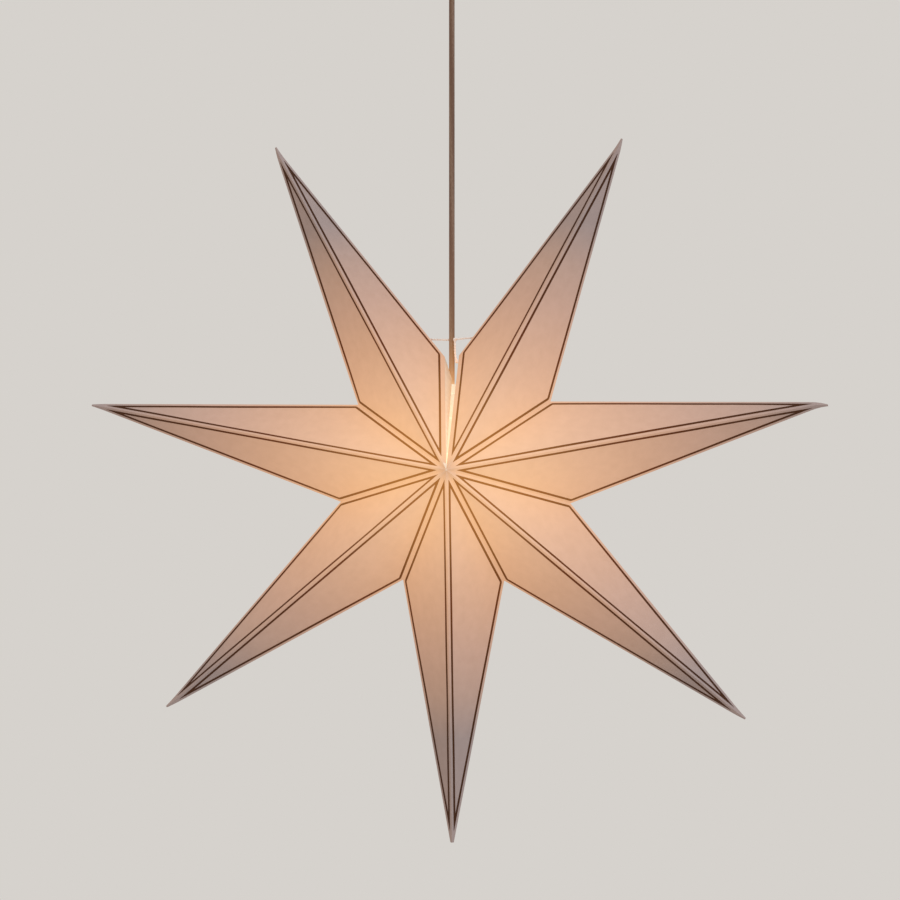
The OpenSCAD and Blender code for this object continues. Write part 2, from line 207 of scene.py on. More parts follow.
# How far the paper is from flat
paperWave = {
    "bow": 1.6 * mm,  # swell of a facet's middle
    "ripple": 0.7 * mm,
    "rippleSize": 75 * mm,
    "foldShare": 1 / 9,  # the ripple grows from nothing at a fold over this share of a facet
}


def paperShift(point, side, face, place):
    # The way that the paper departs from flat at a place on one facet, nothing on its folds
    corners = facet(point, side, face)
    shares = barycentric_transform(place, *corners, Vector((1, 0, 0)), Vector((0, 1, 0)), Vector((0, 0, 1)))
    middle = max(0, 27 * shares.x * shares.y * shares.z)  # 1 in the facet's middle
    inside = max(0, min(1, min(shares) / paperWave["foldShare"]))
    seed = Vector((3.1 * point, 1.7 * side, 2.3 * face))
    swell = noise.noise(seed) * 2 * paperWave["bow"] * middle
    ripple = noise.noise(place / paperWave["rippleSize"] + seed) * paperWave["ripple"] * inside
    return facetNormal(point, side, face) * (swell + ripple)


def tipShift(point, place):
    # The last few millimetres of each tip are a little bent
    tip = tipPlace(point)
    along = tip.normalized()
    share = max(0, (place.dot(along) - tip.length + star["curlLength"]) / star["curlLength"])
    depth, sideways = star["tipCurl"][point - 1]
    return share * share * Vector((0, depth * mm, sideways * mm))


tabs = {
    "width": 9 * mm,
    "cornerCut": 24 * mm,
    "apexCut": 24 * mm,
    "apexGap": 8 * mm,
    "flare": math.radians(45),  # the left seam tab at the front stands out
}


def tabShift(point, side, face, place):
    # From a place on the valley fold to the free edge of the glue tab there
    corner, apex = cornerPlace(point, side), apexPlace(face)
    length = (apex - corner).length
    fold = (apex - corner) / length
    reach = (place - corner).dot(fold)
    flared = point == star["points"] and side == right and face == front
    flare = tabs["flare"] if flared else 0
    apexCut = length - tabs["apexGap"] - tabs["cornerCut"] if flared else tabs["apexCut"]
    width = min(1, reach / tabs["cornerCut"], (length - tabs["apexGap"] - reach) / apexCut)
    inward = (corner.dot(fold) * fold - corner).normalized()
    angle = cornerAngle(point, side)
    outward = side * Vector((-math.sin(angle), 0, math.cos(angle)))
    depth = inward * math.cos(flare) + outward * math.sin(flare)
    into = inward * math.sin(flare) - outward * math.cos(flare)
    return depth * max(0, width) * tabs["width"] + into * star["glue"]


def makePoint(point):
    # One sheet: four facets round a hollow point, with a glue tab folded in along each valley
    bm = bmesh.new()
    places = [tipPlace(point, star["blunt"][point - 1] * mm), apexPlace(front), apexPlace(back),
              cornerPlace(point, left), cornerPlace(point, right)]
    tip, apexFront, apexBack, cornerLeft, cornerRight = [bm.verts.new(p) for p in places]
    for loop in ((tip, apexFront, cornerLeft), (tip, cornerLeft, apexBack),
                 (tip, cornerRight, apexFront), (tip, apexBack, cornerRight)):
        bm.faces.new(loop)
    bmesh.ops.subdivide_edges(bm, edges=bm.edges[:], cuts=star["cuts"], use_grid_fill=True)
    facets = set(bm.verts)
    valley = [e for e in bm.edges if e.is_boundary]
    folded = bmesh.ops.extrude_edge_only(bm, edges=valley)["geom"]
    for v in [g for g in folded if isinstance(g, bmesh.types.BMVert)]:
        v.co += tabShift(point, *sidesOf(point, v.co), v.co)
    for f in [g for g in folded if isinstance(g, bmesh.types.BMFace)]:
        flared = point == star["points"] and sidesOf(point, f.calc_center_median()) == (right, front)
        f.material_index = 1 if flared else 0
    end = tipPlace(point)
    bmesh.ops.bisect_plane(bm, geom=bm.verts[:] + bm.edges[:] + bm.faces[:], dist=0.01 * mm,
                           plane_co=end, plane_no=end.normalized(), clear_outer=True)
    bm.verts.ensure_lookup_table()
    rim = [e for e in bm.edges if e.is_boundary and e.verts[0].co.x > star["tipRadius"] * 0.9]
    bmesh.ops.holes_fill(bm, edges=rim, sides=0)
    shifts = {}
    for v in bm.verts:
        if v in facets or v.co.x > star["cornerRadius"]:
            shifts[v] = paperShift(point, *sidesOf(point, v.co), v.co)
    for v, shift in shifts.items():
        v.co += shift
    for v in bm.verts:
        v.co += tipShift(point, v.co)
    bmesh.ops.remove_doubles(bm, verts=bm.verts[:], dist=0.02 * mm)
    bmesh.ops.recalc_face_normals(bm, faces=bm.faces[:])
    middle = sum(facet(point, left, front), Vector()) / 3
    outer = min(bm.faces, key=lambda f: (f.calc_center_median() - middle).length)
    if outer.normal.dot(facetNormal(point, left, front)) < 0:
        bmesh.ops.reverse_faces(bm, faces=bm.faces[:])
    bmesh.ops.transform(bm, matrix=armTurn(point), verts=bm.verts[:])
    for f in bm.faces:
        f.smooth = True
    made = addObject(f"paper_point_{point}", bm, [paperOutside, paperInside])
    made.data.set_sharp_from_angle(angle=math.radians(25))
    wall = made.modifiers.new("wall", "SOLIDIFY")
    wall.thickness = star["paper"]
    wall.offset = -1
    wall.use_even_offset = True
    wall.thickness_clamp = 1
    wall.material_offset = 1
    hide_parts(f"point_{point}")


outline = {
    "inset": 2.9 * mm,  # bare paper between a fold and the line
    "seamExtra": 2.5 * mm,  # more of it beside the open seam at the front, where the fold is soft
    "width": 2.4 * mm,
    "bend": 1.4 * mm,  # the line is rounded where it turns at the corner
    "ink": 0.2 * mm,  # thickness
    "lift": 0.12 * mm,
    "step": 6 * mm,  # between the places where a line follows the paper's swell
}


def makeOutline(point):
    # A printed line round each facet, just inside its folds
    whole = bmesh.new()
    for side, face in sides:
        bm = bmesh.new()
        tip, apex, corner = facet(point, side, face)
        if face == front and (point, side) in ((1, left), (star["points"], right)):
            share = outline["seamExtra"] / (tip - apex).cross((corner - apex).normalized()).length
            apex, corner = apex.lerp(tip, share), corner.lerp(tip, share)
        sheet = bm.faces.new([bm.verts.new(p) for p in (tip, apex, corner)])
        bm.normal_update()
        bmesh.ops.inset_region(bm, faces=[sheet], thickness=outline["inset"], use_boundary=True,
                               use_even_offset=True)
        bmesh.ops.delete(bm, geom=[f for f in bm.faces if f is not sheet], context="FACES")
        turning = min(bm.verts, key=lambda v: (v.co - cornerPlace(point, side)).length)
        bmesh.ops.bevel(bm, geom=[turning], affect="VERTICES", offset=outline["bend"],
                        segments=4, profile=0.5, material=-1)
        bm.normal_update()
        middle = max(bm.faces, key=lambda f: f.calc_area())
        bmesh.ops.inset_region(bm, faces=[middle], thickness=outline["width"], use_boundary=True,
                               use_even_offset=True)
        bmesh.ops.delete(bm, geom=[middle], context="FACES")
        longEdges = [e for e in bm.edges if e.is_boundary and e.calc_length() > 3 * outline["width"]]
        bmesh.ops.subdivide_edges(bm, edges=longEdges, cuts=round(tipPlace(point).length / outline["step"]))
        normal = facetNormal(point, side, face)
        for v in bm.verts:
            v.co += paperShift(point, side, face, v.co) + normal * outline["lift"]
            v.co += tipShift(point, v.co)
        flat = bm.faces[:]
        for f in flat:
            f.normal_update()
        if flat[0].normal.dot(normal) < 0:
            bmesh.ops.reverse_faces(bm, faces=flat)
        spare = bpy.data.meshes.new("spare")
        bm.to_mesh(spare)
        bm.free()
        whole.from_mesh(spare)
        bpy.data.meshes.remove(spare)
    bmesh.ops.transform(whole, matrix=armTurn(point), verts=whole.verts[:])
    made = addObject(f"printed_line_{point}", whole, [lineInk])
    wall = made.modifiers.new("ink", "SOLIDIFY")
    wall.thickness = outline["ink"]
    wall.offset = 0
    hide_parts(f"outline_{point}")


# Painted glow: the bulb's light on the paper, ink, string, cord and holder is painted as emission, not cast
# by a lamp
# Light of the bulb, by the distance from it. It falls off faster up and down than sideways, as in the photo
glow = {
    "reach": 400 * mm,
    "heightFactor": 1.4,
    "through": [(0.150, "#D2A066"), (0.250, "#C6935D"), (0.350, "#B48353"), (0.475, "#9E6F42"),
                (0.625, "#845A36"), (0.775, "#664423"), (0.925, "#100A04")],
    "inside": [(0.10, "#E6D6B2"), (0.22, "#B89C76"), (0.35, "#947E5C"), (0.60, "#6A4C30"),
               (0.95, "#20140A")],
    "ink": [(0.10, "#BC7D36"), (0.22, "#9E632E"), (0.30, "#875527"), (0.38, "#6B3C18"), (0.48, "#5C2A06"),
            (0.62, "#462102"), (0.90, "#301602")],
    "string": [(0.34, "#A87038"), (0.42, "#8A5C34"), (0.48, "#201004")],
    "cord": [(0.285, "#F4E6C0"), (0.305, "#D9AE80"), (0.325, "#B98757"), (0.370, "#92643A"),
             (0.420, "#765027"), (0.490, "#523D29"), (0.735, "#32231A"), (1.000, "#000000")],
    "holder": [(0.20, "#B4AE98"), (0.32, "#A8A08A"), (0.42, "#000000")],
    "apexShare": 0.65,  # share of the painted glow that the piled tab ends let through at an apex: painted shade there
    "apexSize": 14 * mm,
}


def bulbDistance(tree, place):
    # From 0 at the bulb to 1 at the glow's reach
    away = addNode(tree, "ShaderNodeVectorMath", {0: place, 1: star["place"]}, operation="SUBTRACT")
    tall = (1, 1, glow["heightFactor"])
    high = addNode(tree, "ShaderNodeVectorMath", {0: away.outputs[0], 1: tall}, operation="MULTIPLY")
    length = addNode(tree, "ShaderNodeVectorMath", {0: high.outputs[0]}, operation="LENGTH")
    return addNode(tree, "ShaderNodeMath", {0: length.outputs["Value"], 1: glow["reach"]},
                   operation="DIVIDE").outputs[0]


def paperShare(tree, place, uneven):
    # Share of the painted glow that the paper lets through: its own unevenness, and painted shade at an apex,
    # where tab ends pile up
    away = [addNode(tree, "ShaderNodeVectorMath", {0: place, 1: star["place"] + apexPlace(face)},
                    operation="DISTANCE").outputs["Value"] for face in (front, back)]
    nearer = addNode(tree, "ShaderNodeMath", {0: away[0], 1: away[1]}, operation="MINIMUM")
    apexShade = addNode(tree, "ShaderNodeMapRange", {0: nearer.outputs[0], 2: glow["apexSize"],
                                                 3: glow["apexShare"], 4: 1.0})
    return addNode(tree, "ShaderNodeMath", {0: uneven.outputs[0], 1: apexShade.outputs[0]},
                   operation="MULTIPLY").outputs[0]


def addGlow(tree, shader, place, stops, share=1.0):
    # Painted glow: the bulb's light painted on as the material's emission; stops goes by the distance from
    # the bulb
    light = colourRamp(tree, bulbDistance(tree, place), stops)
    lit = addNode(tree, "ShaderNodeVectorMath", {0: light, "Scale": share}, operation="SCALE")
    tree.links.new(lit.outputs[0], shader.inputs["Emission Color"])
    shader.inputs["Emission Strength"].default_value = 1


# Cartridge paper, uncoated, 280 g: printed, cut and folded. It is matt, with a cloudy look against the light
paperOutside, tree, shader, place = newMaterial("cartridgePaper", Roughness=0.82, Specular_IOR_Level=0.25)
cloud = noiseValue(tree, place, 9, 3)  # clouds of fibre, 9 mm
paperTone = colourRamp(tree, cloud, [(0.3, "#A48F88"), (0.7, "#A9948D")])
tree.links.new(paperTone, shader.inputs["Base Color"])
mottle = addNode(tree, "ShaderNodeMapRange", {0: cloud, 1: 0.2, 2: 0.8, 3: 0.975, 4: 1.025})
# painted glow: the bulb's light through the paper, cloudy with its fibres, with painted shade at each apex
addGlow(tree, shader, place, glow["through"], paperShare(tree, place, mottle))
addBump(tree, shader, noiseValue(tree, place, 1.6, 4), 0.04)  # fibres, drawn at 1.6 mm so that they show

# The same paper's inner side, with the bulb's light on it as painted glow
paperInside, tree, shader, place = newMaterial("cartridgePaperInside", Roughness=0.85, Specular_IOR_Level=0.2)
shader.inputs["Base Color"].default_value = linearColour("#C9B3A6")
creaseShade = noiseValue(tree, place, 2.2, 2, (1, 1, 0.06))  # upright streaks of painted shade, standing in for creases in the tabs, 2 mm apart
uneven = addNode(tree, "ShaderNodeMapRange", {0: creaseShade, 1: 0.3, 2: 0.7, 3: 0.82, 4: 1.08})
addGlow(tree, shader, place, glow["inside"], paperShare(tree, place, uneven))
addBump(tree, shader, noiseValue(tree, place, 1.6, 4), 0.04)

# Offset ink in dark brown, with painted glow of the bulb's light through it near the middle
lineInk, tree, shader, place = newMaterial("brownInk", Roughness=0.6, Specular_IOR_Level=0.1)
inkTone = colourRamp(tree, noiseValue(tree, place, 3), [(0.3, "#281811"), (0.7, "#2F1D14")])
tree.links.new(inkTone, shader.inputs["Base Color"])
addGlow(tree, shader, place, glow["ink"])
print("paper and ink made")

for number in range(1, star["points"] + 1):
    makePoint(number)
    makeOutline(number)
print("paper points made")


def smoothPath(points, step):
    # A Catmull-Rom line through the points, with a place about every step
    path = []
    for k in range(len(points) - 1):
        before, a = points[max(k - 1, 0)], points[k]
        b, after = points[k + 1], points[min(k + 2, len(points) - 1)]
        count = max(1, round((b - a).length / step))
        for n in range(count):
            t = n / count
            path.append(0.5 * (2 * a + (b - before) * t + (2 * before - 5 * a + 4 * b - after) * t * t
                               + (3 * a - before - 3 * b + after) * t ** 3))
    return path + [points[-1]]


def twistPath(path, offset, pitch, phase):
    # One ply of a twisted string: a helix at a distance from the line
    ply, side, run = [], Vector((0.3, -0.8, 0.52)), 0
    for k, place in enumerate(path):
        heading = (path[min(k + 1, len(path) - 1)] - path[max(k - 1, 0)]).normalized()
        side = (side - side.dot(heading) * heading).normalized()
        run += (place - path[max(k - 1, 0)]).length
        angle = phase + math.tau * run / pitch
        ply.append(place + offset * (math.cos(angle) * side + math.sin(angle) * heading.cross(side)))
    return ply


def sweepTube(bm, path, radius, around):
    # A round tube along a list of places, closed at both ends
    heading = path[1] - path[0]
    turn = Vector((0, 0, 1)).rotation_difference(heading).to_matrix().to_4x4()
    ring = bmesh.ops.create_circle(bm, segments=around, radius=radius,
                                   matrix=Matrix.Translation(path[0]) @ turn)
    edges = list({e for v in ring["verts"] for e in v.link_edges})
    ends = edges[:]
    for k in range(1, len(path)):
        made = bmesh.ops.extrude_edge_only(bm, edges=edges)["geom"]
        verts = {v for v in made if isinstance(v, bmesh.types.BMVert)}
        edges = [e for e in made if isinstance(e, bmesh.types.BMEdge) and set(e.verts) <= verts]
        following = path[min(k + 1, len(path) - 1)] - path[k - 1]
        bmesh.ops.translate(bm, verts=list(verts), vec=path[k] - path[k - 1])
        bmesh.ops.rotate(bm, verts=list(verts), cent=path[k],
                         matrix=heading.rotation_difference(following).to_matrix())
        heading = following
    bmesh.ops.holes_fill(bm, edges=ends + edges, sides=0)


def finishSkin(bm):
    bmesh.ops.recalc_face_normals(bm, faces=bm.faces[:])
    for f in bm.faces:
        f.smooth = True


def addBevel(made, width, angle=35):
    rounded = made.modifiers.new("edges", "BEVEL")
    rounded.width = width
    rounded.segments = 2
    rounded.limit_method = "ANGLE"
    rounded.angle_limit = math.radians(angle)
    made.data.set_sharp_from_angle(angle=math.radians(angle))


# Cotton string, two-ply and bleached: matt, a little fluffy
cottonString, tree, shader, place = newMaterial("bleachedCotton", Roughness=0.9, Sheen_Weight=0.3)
tree.links.new(colourRamp(tree, noiseValue(tree, place, 0.8, 3), [(0.35, "#E4D8CE"), (0.65, "#F6EDE4")]),
               shader.inputs["Base Color"])
# painted glow: the bulb's light on the string, stronger nearer the bulb
addGlow(tree, shader, place, glow["string"])
addBump(tree, shader, noiseValue(tree, place, 0.35, 3), 0.08)

string = {
    "diameter": 2.2 * mm,
    "pitch": 6 * mm,  # one turn of the twist
    "plyOffset": 0.24,  # of the diameter, from the string's line to a ply's
    "plyRadius": 0.27,
    "knotPly": 0.42,
    "step": 0.8 * mm,
    "around": 8,
    "holeUp": 26 * mm,  # from the seam's corner along the paper's edge
    "holeIn": outline["inset"] + outline["width"] + 2.1 * mm,  # from the edge, clear of the printed line
    "knotRadius": 2.1 * mm,
    "knotTurn": math.radians(-50),  # where the knot lies round the cord, from its right
    "wrapGap": 0.25 * mm,
    "knotGap": 0.15 * mm,
    "clear": 1 * mm,  # from the paper to the string where it turns
    "sag": 1 * mm,  # drop of the knot below the level of the holes
    "tail": [(0.2, -0.6, -5), (0.1, 0.2, -9.9), (0.5, 0.6, -16.5), (1.6, 0.4, -22)],  # mm from the knot
}


def stringHole(point, side, face):
    # Where the string goes through the paper, and the paper's normal there, in the star's frame
    corner = cornerPlace(point, side)
    edge = (tipPlace(point) - corner).normalized()
    normal = facetNormal(point, side, face)
    inward = normal.cross(edge)
    inward = inward if inward.y * face > 0 else -inward
    turn = armTurn(point)
    return turn @ (corner + edge * string["holeUp"] + inward * string["holeIn"]), turn.to_3x3() @ normal


def knotTurns(place, axis, size):
    # A few turns of the string wound on themselves, 2.5 mm high; size is their radius in mm
    turnTo = Vector((0, 0, 1)).rotation_difference(axis).to_matrix()
    steps, height = 28, 0.09
    loop = []
    for k in range(steps + 1):
        loop.append(place + turnTo @ Vector((math.cos(k / 2) * size, math.sin(k / 2) * size,
                                             (k - steps / 2) * height)) * mm)
    return loop


def makeString():
    # From a knot inside the last point, round behind the cord, to a knot inside the first point
    leftHole, leftOut = stringHole(7, right, back)
    rightHole, rightOut = stringHole(1, left, back)
    cordRadius = cord["diameter"] / 2
    wrap = cordRadius + string["diameter"] / 2 + string["wrapGap"]
    height = (leftHole.z + rightHole.z) / 2 - string["sag"]
    turn = string["knotTurn"]
    reach = cordRadius + string["knotRadius"] + string["knotGap"]
    knot = Vector((reach * math.cos(turn), reach * math.sin(turn), height))
    inside = star["paper"] + string["knotRadius"]
    clear = string["diameter"] / 2 + string["clear"]
    behind = [Vector((wrap * math.cos(math.radians(a)), wrap * math.sin(math.radians(a)), height))
              for a in range(160, -21, -20)]
    leftRun = [leftHole - leftOut * inside, leftHole, leftHole + leftOut * clear, *behind, knot]
    rightRun = [knot, rightHole + rightOut * clear, rightHole, rightHole - rightOut * inside]
    tail = [knot, *[knot + Vector(place) * mm for place in string["tail"]]]
    bm = bmesh.new()
    for points in (leftRun, rightRun, tail):
        line = smoothPath(points, string["step"])
        for phase in (0, math.pi):
            ply = twistPath(line, string["diameter"] * string["plyOffset"], string["pitch"], phase)
            sweepTube(bm, ply, string["diameter"] * string["plyRadius"], string["around"])
    for place, axis, size in (
        (knot, Vector((0.3, -0.4, 1)), 0.85),
        (leftHole - leftOut * inside, leftOut, 0.8),
        (rightHole - rightOut * inside, rightOut, 0.8),
        (tail[-1], Vector((0, 0, 1)), 0.6),
    ):
        sweepTube(bm, knotTurns(place, axis, size), string["diameter"] * string["knotPly"], string["around"])
    finishSkin(bm)
    made = addObject("tie_string_twisted", bm, [cottonString])
    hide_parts("tie_string")


# Textile cable, braided over its wires in copper and brown yarn: satin, with long slanting stripes
cord = {
    "diameter": 5.7 * mm,
    "route": [(0, 0, -0.0135), (0, 0, -0.030), (0, 0, -0.045), (0, 0, -0.060), (0, 0, -0.075), (0, 0, -0.090),
              (0, 0, -0.105), (0, 0, -0.120), (0, 0, -0.135), (0, 0, -0.150), (0, 0, -0.165), (0, 0, -0.180),
              (0, 0, -0.195), (0, 0, -0.210), (0, 0, -0.225), (0, 0, -0.240), (0, 0, -0.255), (0, 0, -0.270),
              (0, 0, -0.285), (0, 0, -0.300), (0, 0, -0.315), (0, 0, -0.330), (0, 0, -0.345), (0, 0, -0.360),
              (0, 0, -0.375), (0, 0, -0.390), (0, 0, -0.405), (0, 0, -0.420), (0, 0, -0.435), (0, 0, -0.450),
              (0, 0, -0.465), (0, 0, -0.480), (0, 0, -0.498)],
    "exit": (0, 0, -0.472),
    "yarns": 12,
    "pitch": 34 * mm,  # length of one turn of the yarns, which cross in both directions
    "relief": 0.1 * mm,
    "stripes": 2,
    "stripeTurn": 400 * mm,  # length of one turn of the stripes
    "around": 72,
    "step": 1.5 * mm,
}
cordFabric, tree, shader, place = newMaterial("braidedCopperYarn", Roughness=0.6, Sheen_Weight=0.12)
parts = addNode(tree, "ShaderNodeSeparateXYZ", {0: place})
around = addNode(tree, "ShaderNodeMath", {0: parts.outputs["Y"], 1: parts.outputs["X"]}, operation="ARCTAN2")
climb = addNode(tree, "ShaderNodeMath", {0: parts.outputs["Z"], 1: math.tau / cord["stripeTurn"]},
                operation="MULTIPLY")
spiral = addNode(tree, "ShaderNodeMath", {0: around.outputs[0], 1: climb.outputs[0]}, operation="ADD")
bands = addNode(tree, "ShaderNodeMath", {0: spiral.outputs[0], 1: cord["stripes"]}, operation="MULTIPLY")
band = addNode(tree, "ShaderNodeMath", {0: bands.outputs[0]}, operation="SINE")
yarn = noiseValue(tree, place, 0.7, 3, (1, 1, 0.2))
mixed = addNode(tree, "ShaderNodeMath", {0: band.outputs[0], 1: 0.22, 2: yarn}, operation="MULTIPLY_ADD")
yarnTone = colourRamp(tree, mixed.outputs[0], [(0.28, "#684631"), (0.5, "#71503A"), (0.74, "#82644F")])
tree.links.new(yarnTone, shader.inputs["Base Color"])
# painted glow: the bulb's light on the cord, stronger towards the star and fading up the cord
addGlow(tree, shader, place, glow["cord"])
addBump(tree, shader, yarn, 0.1)


def makeCord():
    top, low = Vector(cord["route"][0]), Vector(cord["route"][-1])
    length = (top - low).length
    bm = bmesh.new()
    radius = cord["diameter"] / 2
    bmesh.ops.create_cone(bm, cap_ends=True, segments=cord["around"], radius1=radius, radius2=radius,
                          depth=length, matrix=Matrix.Translation((top + low) / 2))
    upright = [e for e in bm.edges if abs(e.verts[0].co.z - e.verts[1].co.z) > length / 2]
    bmesh.ops.subdivide_edges(bm, edges=upright, cuts=round(length / cord["step"]))
    for v in bm.verts:
        around, climb = math.atan2(v.co.y, v.co.x), math.tau * v.co.z / cord["pitch"]
        crest = max(abs(math.cos((around + way * climb) * cord["yarns"] / 2)) for way in (-1, 1))
        v.co.xy *= 1 - (1 - crest) * cord["relief"] / radius
    finishSkin(bm)
    made = addObject("textile_cord", bm, [cordFabric])
    made.data.set_sharp_from_angle(angle=math.radians(60))
    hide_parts("cord")


# ABS, injection moulded and white: a soft gloss with a very fine grain
whitePlastic, tree, shader, place = newMaterial("whiteABS", Roughness=0.36, IOR=1.53)
tree.links.new(colourRamp(tree, noiseValue(tree, place, 22, 2), [(0.3, "#E4E2DD"), (0.7, "#ECEAE5")]),
               shader.inputs["Base Color"])
# painted glow: the bulb's light on the white plastic near the bulb, none farther off
addGlow(tree, shader, place, glow["holder"])
addBump(tree, shader, noiseValue(tree, place, 0.5, 2), 0.01)

# Zinc-plated steel: a dull silver metal with faint cloudy crystals
zincSteel, tree, shader, place = newMaterial("zincPlatedSteel", Metallic=1.0)
crystals = addNode(tree, "ShaderNodeTexVoronoi", {"Vector": place, "Scale": 1 / (5 * mm)})
tree.links.new(colourRamp(tree, crystals.outputs["Distance"], [(0.1, "#A9ADB1"), (0.8, "#C3C6C9")]),
               shader.inputs["Base Color"])
rough = addNode(tree, "ShaderNodeMapRange", {0: noiseValue(tree, place, 3), 3: 0.3, 4: 0.5})
tree.links.new(rough.outputs[0], shader.inputs["Roughness"])

# Brass, drawn and bare: warm metal, slightly tarnished in patches
bareBrass, tree, shader, place = newMaterial("drawnBrass", Metallic=1.0)
patches = noiseValue(tree, place, 4, 3)
tree.links.new(colourRamp(tree, patches, [(0.3, "#A8844A"), (0.7, "#CDAA62")]), shader.inputs["Base Color"])
rough = addNode(tree, "ShaderNodeMapRange", {0: patches, 3: 0.42, 4: 0.24})
tree.links.new(rough.outputs[0], shader.inputs["Roughness"])

# Opal glass, blown and lit from within: even and milky, whitest in the middle
opalGlass, tree, shader, place = newMaterial("opalGlass", Roughness=0.3)
shader.inputs["Base Color"].default_value = linearColour("#D8D0C4")
shader.inputs["Emission Color"].default_value = linearColour("#F0E4C4")
shader.inputs["Emission Strength"].default_value = 0.8


def turnPiece(name, profile, materials, node, steps=96):
    # A profile of (radius, height) spun round the cord's line. It is closed, unless it ends on that line
    bm = bmesh.new()
    corners = [bm.verts.new((radius, 0, height)) for radius, height in profile]
    count = len(corners) - 1 if profile[-1][0] == 0 else len(corners)
    rim = [bm.edges.new((corners[k], corners[(k + 1) % len(corners)])) for k in range(count)]
    bmesh.ops.spin(bm, geom=corners + rim, cent=(0, 0, 0), axis=(0, 0, 1), angle=math.tau, steps=steps,
                   use_merge=True)
    bmesh.ops.remove_doubles(bm, verts=bm.verts[:], dist=0.001 * mm)
    finishSkin(bm)
    made = addObject(name, bm, materials)
    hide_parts(node)
    addBevel(made, 0.4 * mm)
    return made


grip = {
    "stemRadius": 5 * mm,
    "stemLength": 6 * mm,
    "nutRadius": 7 * mm,
    "nutLength": 10 * mm,
    "straight": 0.6,  # of the nut, before it tapers
    "lip": 1.6 * mm,
    "gap": 0.15 * mm,
}


def makeGrip(name, node, wall, away):
    # A cord grip: its stem goes through the wall, and its nut stands on the far side
    bore = cord["diameter"] / 2 + grip["gap"]
    lip = cord["diameter"] / 2 + grip["lip"]
    shape = [(bore, -grip["stemLength"]), (grip["stemRadius"], -grip["stemLength"]), (grip["stemRadius"], 0),
             (grip["nutRadius"], 0), (grip["nutRadius"], grip["nutLength"] * grip["straight"]),
             (lip, grip["nutLength"]), (bore, grip["nutLength"])]
    profile = [(r, wall + away * h) for r, h in shape]
    return turnPiece(name, profile, [whitePlastic], node)


cup = {"wall": 2 * mm, "rim": 18 * mm, "foot": 16 * mm, "gap": 0.1 * mm, "arcSteps": 12, "steps": 144}


def makeCup():
    low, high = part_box("ceiling_cup")
    radius, height = high.x, high.z - low.z
    run, shoulder = radius - cup["foot"], height - cup["rim"]
    hole = grip["stemRadius"] + cup["gap"]
    quarter = [math.pi / 2 * k / cup["arcSteps"] for k in range(cup["arcSteps"] + 1)]
    outside = [(cup["foot"] + run * math.cos(a), -cup["rim"] - shoulder * math.sin(a)) for a in quarter]
    run, shoulder = run - cup["wall"], shoulder - cup["wall"]
    inside = [(cup["foot"] + run * math.cos(a), -cup["rim"] - shoulder * math.sin(a))
              for a in reversed(quarter)]
    profile = [(radius - cup["wall"], 0), (radius, 0), *outside,
               (hole, -height), (hole, cup["wall"] - height), *inside]
    return turnPiece("ceiling_cup_moulded", profile, [whitePlastic], "ceiling_cup",
                     cup["steps"])


holder = {
    "wall": 1.6 * mm,
    "gap": 0.1 * mm,
    "skirt": 7 * mm,  # height of the ledge above the body's lower end
    "skirtBore": 11.4 * mm,
    "sleeve": 8 * mm,  # of the cap, over the body
    "roof": 2.4 * mm,
    "step": 1 * mm,
    "round": 1.5 * mm,
    "neckGap": 0.5 * mm,
    "domeOutside": 0.35,  # height of the shoulder, as a share of the dome's
    "domeInside": 0.3,
}


def makeHolder():
    low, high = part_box("holder_body")
    radius, wall, gap, bend = high.x, holder["wall"], holder["gap"], holder["round"]
    ledge, bore = low.z + holder["skirt"], holder["skirtBore"]
    body = [(bore, low.z), (radius, low.z), (radius, high.z), (radius - wall, high.z), (radius - wall, ledge),
            (bore, ledge)]
    turnPiece("holder_body_moulded", body, [whitePlastic], "holder_body")
    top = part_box("holder_cap")[1].z
    outer, neck, dome = radius + gap + wall, grip["nutRadius"] + holder["neckGap"], top - high.z
    hole, roof, sleeve = grip["stemRadius"] + gap, top - holder["roof"], high.z - holder["sleeve"]
    cap = [(radius + gap, sleeve), (outer, sleeve), (outer, high.z + holder["step"]),
           (outer - bend, high.z + dome * holder["domeOutside"]), (neck + bend, top - bend), (neck, top),
           (hole, top), (hole, roof), (neck - holder["neckGap"], roof),
           (outer - bend - wall, high.z + dome * holder["domeInside"]),
           (radius - wall, high.z), (radius + gap, high.z)]
    turnPiece("holder_cap_moulded", cap, [whitePlastic], "holder_cap")
    makeGrip("holder_grip_moulded", "holder_grip", top, 1)


bulb = {
    "middle": star["place"].z - 10 * mm,
    "globe": 22.5 * mm,
    "neck": 11 * mm,
    "neckTop": 33 * mm,  # above the globe's middle
    "collar": 5 * mm,  # the neck's straight end
    "waist": (0.45, 0.35),  # shares of the way from the neck to the globe, and from the globe to the top
    "screw": 6.9 * mm,
    "screwLength": 19 * mm,
    "threadPitch": 3.6 * mm,
    "threadDepth": 0.5 * mm,
    "threadSteps": 6,  # places on each turn of the thread
    "threadStart": 1 * mm,
    "threadEnd": 3 * mm,
    "taper": 1.2 * mm,
    "contact": 2 * mm,
}


